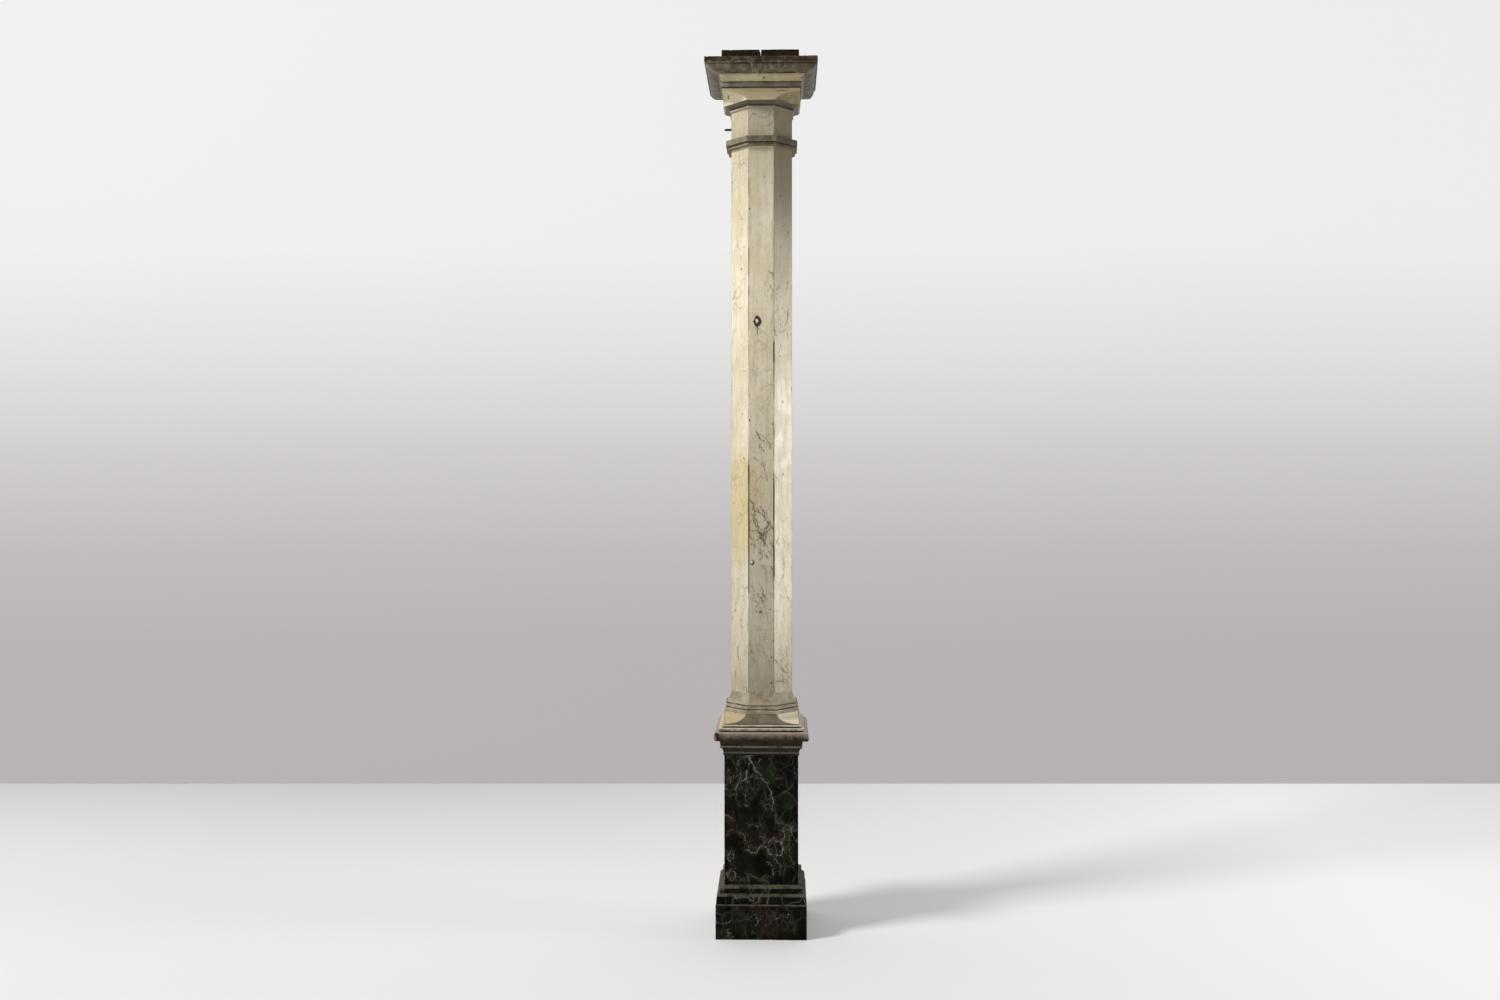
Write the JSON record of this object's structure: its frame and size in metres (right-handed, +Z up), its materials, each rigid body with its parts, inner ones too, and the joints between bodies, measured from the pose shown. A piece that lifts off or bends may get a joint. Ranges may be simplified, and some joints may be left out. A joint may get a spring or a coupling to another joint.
{
  "type": "octagonal painted wooden column on a square pedestal",
  "caption": "Eight-sided painted wooden column with a plain coopered shaft, moulded capital and base, standing on a tall square marbled pedestal.",
  "frame": {"origin": "middle of the plinth's underside, on the floor", "axes": "+Z up along the column's axis, -Y to the front face that the picture shows, +X to that view's right"},
  "size_m": [0.3704, 0.3704, 2.9299],
  "materials": {
    "plinth_marbling": "dark green-black faux marble paint with pale veins, satin, worn at the arrises",
    "cap_marbling": "dark faux marble paint, rubbed to grey-brown on its upper edges, satin",
    "step_paint": "worn grey-brown paint, dull",
    "base_block_paint": "grey-tan faux marble paint on the faces, cream in the hollow stops, dull satin",
    "ring_paint": "grey-cream faux marble paint, dull satin",
    "shaft_paint": "cream and ivory faux marble paint with fine grey-brown veins and yellowed patches, satin, chipped at the arrises",
    "neck_ring_paint": "grey-brown faux marble paint, dull satin",
    "capital_grey": "grey-olive paint, dull satin",
    "capital_cream": "cream faux marble paint with yellow-brown clouding, satin",
    "abacus_paint": "grey-olive paint, bare reddish-brown wood along the top of the fillet",
    "bare_wood": "bare darkened softwood, rough-sawn",
    "iron": "dark rusted iron"
  },
  "bodies": {
    "root": {"plinth": "plinth_marbling", "plinth_moulding": "plinth_marbling", "die": "plinth_marbling", "pedestal_cap": "cap_marbling", "lower_step": "step_paint", "upper_step": "step_paint", "base_block": "base_block_paint", "base_ring": "ring_paint", "stave_1": "shaft_paint", "stave_2": "shaft_paint", "stave_3": "shaft_paint", "stave_4": "shaft_paint", "stave_5": "shaft_paint", "stave_6": "shaft_paint", "stave_7": "shaft_paint", "stave_8": "shaft_paint", "neck_ring": "neck_ring_paint", "capital_moulding": "capital_grey", "capital_block": "capital_cream", "capital_band": "capital_grey", "bed_moulding": "capital_cream", "abacus": "abacus_paint", "top_board_left": "bare_wood", "top_board_right": "bare_wood", "iron_pin": "iron"}
  },
  "joints": []
}
